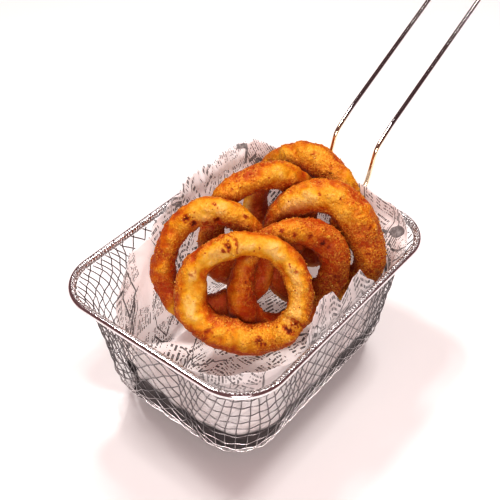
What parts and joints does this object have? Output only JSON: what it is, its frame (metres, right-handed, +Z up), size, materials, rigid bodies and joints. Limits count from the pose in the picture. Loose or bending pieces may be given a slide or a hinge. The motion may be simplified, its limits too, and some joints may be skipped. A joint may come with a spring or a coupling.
{
  "type": "basket of onion rings",
  "caption": "Battered fried onion rings leaning upright in a small pressed wire-mesh serving basket with a looped wire handle and a crumpled printed paper liner.",
  "frame": {"origin": "middle of the basket's flat base, on the surface it stands on", "axes": "+Z up, +X from the basket's middle towards the handle, +Y across"},
  "size_m": [0.271, 0.1076, 0.1445],
  "materials": {
    "steel_mesh": "woven stainless wire, bright on its round tops and dark between",
    "polished_wire": "polished steel wire",
    "printed_paper": null,
    "golden_crust": null
  },
  "bodies": {
    "root": {"basket_mesh": "steel_mesh", "rim_wire": "polished_wire", "handle_wire": "polished_wire", "paper_liner": "printed_paper", "onion_ring_1": "golden_crust", "onion_ring_2": "golden_crust", "onion_ring_3": "golden_crust", "onion_ring_4": "golden_crust", "onion_ring_5": "golden_crust", "onion_ring_6": "golden_crust"}
  },
  "joints": []
}
